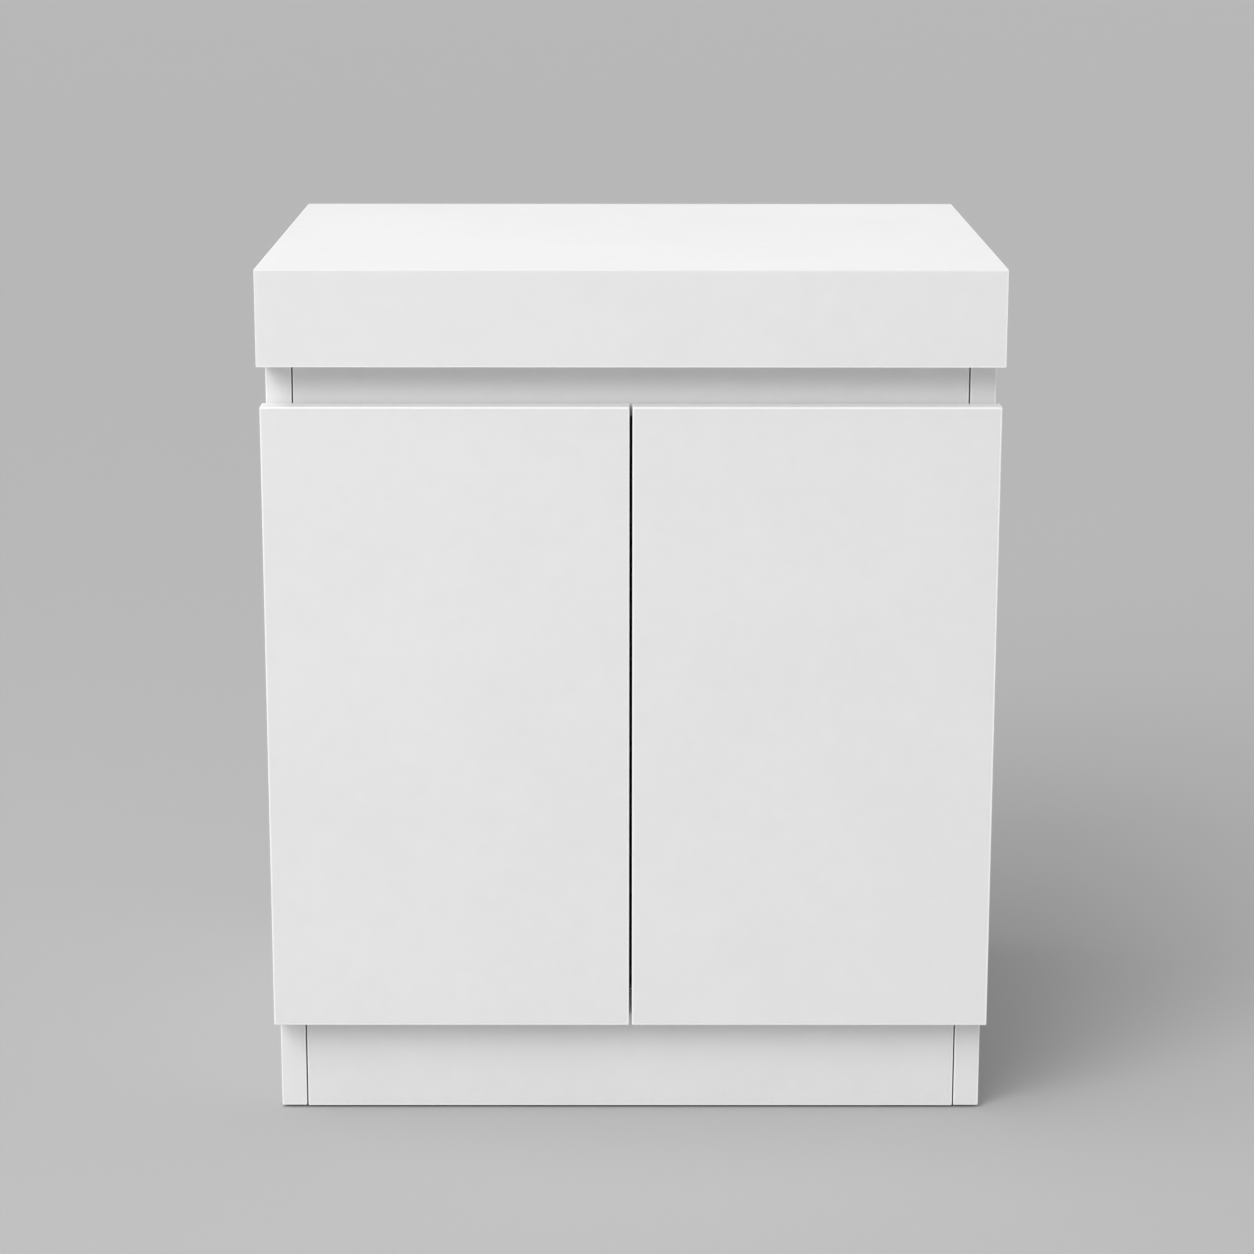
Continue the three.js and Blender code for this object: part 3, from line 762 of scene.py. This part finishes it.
def set_on_places(tree, given, shape):
    """Stands a copy on each place, facing its way and turned at random about it, and ends the tree."""
    facing = tree.node(
        "GeometryNodeInputNamedAttribute", {"data_type": "FLOAT_VECTOR"}, {"Name": "facing"}
    )
    turned = tree.node("FunctionNodeAlignRotationToVector", {"axis": "Z"}, {"Vector": facing})
    angle = tree.node(
        "FunctionNodeRandomValue",
        {"data_type": "FLOAT"},
        {2: 0.0, 3: 2 * pi, "Seed": given["Seed"]},
        output=1,
    )
    spin = tree.node("FunctionNodeAxisAngleToRotation", inputs={"Axis": (0, 0, 1), "Angle": angle})
    rotation = tree.node(
        "FunctionNodeRotateRotation",
        {"rotation_space": "LOCAL"},
        {"Rotation": turned, "Rotate By": spin},
    )
    placed = tree.node(
        "GeometryNodeInstanceOnPoints",
        inputs={"Points": given["Places"], "Instance": shape, "Rotation": rotation},
    )
    end_tree(tree, given, placed)


def end_tree(tree, given, placed):
    """Makes the copies solid, creases their sharp edges and gives them their material."""
    solid = tree.node("GeometryNodeRealizeInstances", inputs={"Geometry": placed})
    smooth = tree.node(
        "GeometryNodeSetShadeSmooth", {"domain": "FACE"}, {"Geometry": solid, "Shade Smooth": True}
    )
    angle = tree.node("GeometryNodeInputMeshEdgeAngle")
    sharp = tree.node("FunctionNodeCompare", {"operation": "GREATER_THAN"}, {0: angle, 1: CREASE_ANGLE})
    creased = tree.node(
        "GeometryNodeSetShadeSmooth",
        {"domain": "EDGE"},
        {"Geometry": smooth, "Selection": sharp, "Shade Smooth": False},
    )
    coated = tree.node(
        "GeometryNodeSetMaterial", inputs={"Geometry": creased, "Material": given["Material"]}
    )
    tree.node("NodeGroupOutput", inputs={"Fittings": coated})


CROWDING = 0.6


def button_tree(name, recessed):
    """Round heads: a disc raised to a dome or a flat-topped button, with or without a cross recess.
    The disc's rings crowd towards the rim, where the head curves most."""
    sizes = {
        "Radius": "NodeSocketFloat",
        "Height": "NodeSocketFloat",
        "Flatness": "NodeSocketFloat",
        "Recess Length": "NodeSocketFloat",
        "Recess Width": "NodeSocketFloat",
        "Seed": "NodeSocketInt",
        "Material": "NodeSocketMaterial",
    }
    group, tree, given = growing_tree(name, sizes)
    disc = tree.node(
        "GeometryNodeMeshCone",
        {"fill_type": "NGON"},
        {
            "Vertices": 36,
            "Side Segments": 9,
            "Radius Top": 0.0,
            "Radius Bottom": given["Radius"],
            "Depth": given["Height"],
        },
    )

    def share_of_radius(x, y):
        return ((x * x + y * y) ** 0.5) / given["Radius"]

    x, y = tree.axes(tree.node("GeometryNodeInputPosition"))[:2]
    share = share_of_radius(x, y)
    # The least share of 0.001 keeps the middle of the disc from dividing by zero
    spread = share ** CROWDING / share.most(0.001)
    x, y = x * spread, y * spread
    level = (1 - share_of_radius(x, y) ** given["Flatness"]).most(0.0) ** 0.5 * given["Height"]
    place = tree.vector(x, y, level)
    head = tree.node("GeometryNodeSetPosition", inputs={"Geometry": disc, "Position": place})
    if recessed:
        length, width, depth = given["Recess Length"], given["Recess Width"], given["Height"] * 1.3
        lift = tree.vector(0.0, 0.0, given["Height"])
        blades = []
        for size in (tree.vector(length, width, depth), tree.vector(width, length, depth)):
            block = tree.node("GeometryNodeMeshCube", inputs={"Size": size})
            lifted = {"Geometry": block, "Translation": lift}
            blades.append(tree.node("GeometryNodeTransform", inputs=lifted))
        head = tree.node(
            "GeometryNodeMeshBoolean", {"operation": "DIFFERENCE"}, {"Mesh 1": head, "Mesh 2": blades}
        )
    set_on_places(tree, given, head)
    return group


def rib_tree():
    """A ring of slim ribs round each place, standing along Y."""
    sizes = {
        "Count": "NodeSocketInt",
        "Ring Radius": "NodeSocketFloat",
        "Rib Radius": "NodeSocketFloat",
        "Rib Length": "NodeSocketFloat",
        "Material": "NodeSocketMaterial",
    }
    group, tree, given = growing_tree("grommet_ribs", sizes)
    circle = tree.node(
        "GeometryNodeMeshCircle", inputs={"Vertices": given["Count"], "Radius": given["Ring Radius"]}
    )
    rod = tree.node(
        "GeometryNodeMeshCylinder",
        {"fill_type": "NGON"},
        {
            "Vertices": 10,
            "Side Segments": 1,
            "Radius": given["Rib Radius"],
            "Depth": given["Rib Length"],
        },
    )
    ring = tree.node("GeometryNodeInstanceOnPoints", inputs={"Points": circle, "Instance": rod})
    upright = tree.node("GeometryNodeTransform", inputs={"Geometry": ring, "Rotation": (pi / 2, 0, 0)})
    placed = tree.node(
        "GeometryNodeInstanceOnPoints", inputs={"Points": given["Places"], "Instance": upright}
    )
    end_tree(tree, given, placed)
    return group


def grow(name, group, places, values, body):
    """Runs the tree on these places and keeps what it makes as one plain mesh."""
    mesh = bpy.data.meshes.new(name)
    mesh.from_pydata([Vector(point) * MM for point, _ in places], [], [])
    facing = mesh.attributes.new("facing", "FLOAT_VECTOR", "POINT")
    for item, (_, direction) in zip(facing.data, places):
        item.vector = direction
    piece = in_scene(name, mesh)
    growth = piece.modifiers.new("growth", "NODES")
    growth.node_group = group
    for item in group.interface.items_tree:
        if item.in_out == "INPUT" and item.name in values:
            growth[item.identifier] = values[item.name]
    evaluated = piece.evaluated_get(bpy.context.evaluated_depsgraph_get())
    made = bpy.data.meshes.new_from_object(evaluated)
    piece.modifiers.clear()
    piece.data = made
    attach(piece, body)


SCREW_TREE = button_tree("cross_head_screws", True)
CAP_TREE = button_tree("cover_caps", False)

HEADS = {
    # screw: (head radius, head height)
    "cup": (3.5, 0.9),
    "plate": (4.0, 1.8),
    "arm": (3.6, 1.6),
    "bracket": (4.2, 2.0),
    "back_panel": (4.0, 1.2),
}
BRACKET_STEEL = 2
BRACKET_SCREW_REACH = 19.5
BACK_SCREWS_X = (-225, -75, 75, 225)
CAP_RADIUS = 8.5
CAP_HEIGHT = 1.1
FLOOR_CAPS_Y = (-160, 0, 160)
BACK_CAPS_Z = (150, 360, 600)
CAP_X = 250
BACK_CAP_X = 252
RAIL_CAP_Z = 618
RIBS_MIDDLE_Y = (GROMMET_FRONT + CARCASS_BACK_Y) / 2
RIB_LENGTH = 16
RIB_RADIUS = 0.6


def screws(name, places, head, material, body, seed):
    """Cross-head screws. Each place is a point and the way the head faces there."""
    radius, height = HEADS[head]
    values = {
        "Radius": radius * MM,
        "Height": height * MM,
        "Flatness": 2.4,
        "Recess Length": radius * 1.15 * MM,
        "Recess Width": radius * 0.26 * MM,
        "Seed": seed,
        "Material": material,
    }
    grow(name, SCREW_TREE, places, values, body)


for index, (side, sign) in enumerate(SIDES.items()):
    inward = (-sign, 0, 0)
    fixing_x = sign * SIDE_INNER_X
    flange_top = FRONT_EDGE_Y + CUP_MOUTH + CUP_WALL
    cup_places = [
        ((fixing_x - sign * EAR[0], flange_top, z + w), (0, 1, 0))
        for z in HINGE_Z.values()
        for w in (-EAR[1], EAR[1])
    ]
    screws(f"cup_screws_{side}", cup_places, "cup", PLATED, f"{side}_door", 11 + index)
    plate_places = [
        ((fixing_x - sign * PLATE_STEEL, FRONT_EDGE_Y + PLATE_SCREW[0], z + w), inward)
        for z in HINGE_Z.values()
        for w in (-PLATE_SCREW[1], PLATE_SCREW[1])
    ]
    screws(f"plate_screws_{side}", plate_places, "plate", PLATED, "root", 21 + index)
    arm_places = [
        ((fixing_x - sign * ARM_TOP, FRONT_EDGE_Y + v, z), inward)
        for z in HINGE_Z.values()
        for v in (ADJUSTING_SCREW_V, CLAMPING_SCREW_V)
    ]
    screws(f"arm_screws_{side}", arm_places, "arm", PLATED, "root", 31 + index)
    bracket_places = [
        ((fixing_x - sign * BRACKET_STEEL, y, SOFFIT_Z - BRACKET_SCREW_REACH), inward)
        for y in BRACKET_Y.values()
    ]
    bracket_places += [
        ((fixing_x - sign * BRACKET_SCREW_REACH, y, SOFFIT_Z - BRACKET_STEEL), (0, 0, -1))
        for y in BRACKET_Y.values()
    ]
    screws(f"bracket_screws_{side}", bracket_places, "bracket", ZINC, "root", 41 + index)

back_places = [((x, CARCASS_BACK_Y, FLOOR_MIDDLE_Z), (0, 1, 0)) for x in BACK_SCREWS_X]
screws("back_panel_screws", back_places, "back_panel", ZINC, "root", 51)

cap_places = []
for sign in SIDES.values():
    cap_places += [((sign * CAP_X, y, FLOOR_TOP_Z), (0, 0, 1)) for y in FLOOR_CAPS_Y]
    cap_places += [((sign * BACK_CAP_X, BACK_PANEL_FRONT_Y, z), (0, -1, 0)) for z in BACK_CAPS_Z]
    cap_places += [((sign * CAP_X, RAIL_BACK_Y, RAIL_CAP_Z), (0, 1, 0))]
cap_values = {
    "Radius": CAP_RADIUS * MM,
    "Height": CAP_HEIGHT * MM,
    "Flatness": 12.0,
    "Seed": 5,
    "Material": CAP_PLASTIC,
}
grow("cover_caps", CAP_TREE, cap_places, cap_values, "root")

rib_places = [((sign * GROMMET_X, RIBS_MIDDLE_Y, GROMMET_Z), (0, 1, 0)) for sign in SIDES.values()]
rib_values = {
    "Count": 36,
    "Ring Radius": (BORE_RADIUS + 0.1) * MM,
    "Rib Radius": RIB_RADIUS * MM,
    "Rib Length": RIB_LENGTH * MM,
    "Material": BLACK_PLASTIC,
}
grow("grommet_ribs", rib_tree(), rib_places, rib_values, "root")


# ---- Studio ----

# Places in the studio are in metres, and the camera's angles in radians
FLOOR_REACH = 30.0
CAMERA_PLACE = (-0.00744, -2.93019, 1.05834)
YAW = 0.0016
PITCH = -0.2306
ROLL = 0.0008
LENS = 97.35
SENSOR_WIDTH = 36


def floor_finish():
    """A matt grey floor with a faint fine grain."""
    material, tree = new_material("studio_floor")
    fine = tree.noise(tree.position(), 260.0, 2.0)
    tree.surface({
        "Base Color": tree.blend(fine, colour(0.43, 0.43, 0.435), colour(0.44, 0.44, 0.445)),
        "Roughness": 0.68,
        "Specular IOR Level": 0.3,
    })
    return material


def soft_light(name, place, aim, size, power):
    """A square soft box that the camera doesn't see."""
    lamp = bpy.data.lights.new(name, "AREA")
    lamp.size = size
    lamp.energy = power
    light = in_scene(name, lamp)
    light.location = place
    light.rotation_euler = (Vector(aim) - Vector(place)).to_track_quat("-Z", "Y").to_euler()
    light.visible_camera = False


def far_light(name, bearing, height, strength, softness):
    """A distant soft light. Angles are in degrees, and the bearing runs from the front to the left."""
    lamp = bpy.data.lights.new(name, "SUN")
    lamp.energy = strength
    lamp.angle = radians(softness)
    across, up = cos(radians(height)), sin(radians(height))
    toward = Vector((-across * sin(radians(bearing)), -across * cos(radians(bearing)), up))
    in_scene(name, lamp).rotation_euler = toward.to_track_quat("Z", "Y").to_euler()


floor_corners = [(x * FLOOR_REACH, y * FLOOR_REACH, 0) for x, y in ((-1, -1), (1, -1), (1, 1), (-1, 1))]
floor_mesh = bpy.data.meshes.new("floor")
floor_mesh.from_pydata(floor_corners, [], [(0, 1, 2, 3)])
floor_mesh.materials.append(floor_finish())
in_scene("floor", floor_mesh)

world = bpy.data.worlds.new("studio")
world.use_nodes = True
backdrop = Tree(world.node_tree)
sky = backdrop.node("ShaderNodeBackground", inputs={"Color": colour(1.0, 1.0, 1.0), "Strength": 0.42})
backdrop.node("ShaderNodeOutputWorld", inputs={"Surface": sky})
bpy.context.scene.world = world

soft_light("side_light", (-1.2, -1.7, 1.9), (0, 0, 0.5), 1.1, 11)
far_light("front_light", 35, 35, 1.26, 40)
far_light("overhead_light", 60, 70, 1.14, 45)
far_light("right_fill", -100, 16, 0.35, 60)
far_light("back_fill", 175, 20, 0.2, 60)

forward = Vector((sin(YAW) * cos(PITCH), cos(YAW) * cos(PITCH), sin(PITCH)))
level = Vector((cos(YAW), -sin(YAW), 0))
upward = level.cross(forward)
right = level * cos(ROLL) + upward * sin(ROLL)
upward = right.cross(forward)
lens = bpy.data.cameras.new("camera")
lens.lens = LENS
lens.sensor_width = SENSOR_WIDTH
camera = in_scene("camera", lens)
facing = Matrix((right, upward, -forward)).transposed().to_4x4()
camera.matrix_world = Matrix.Translation(CAMERA_PLACE) @ facing
bpy.context.scene.camera = camera
bpy.context.scene.view_settings.view_transform = "Standard"
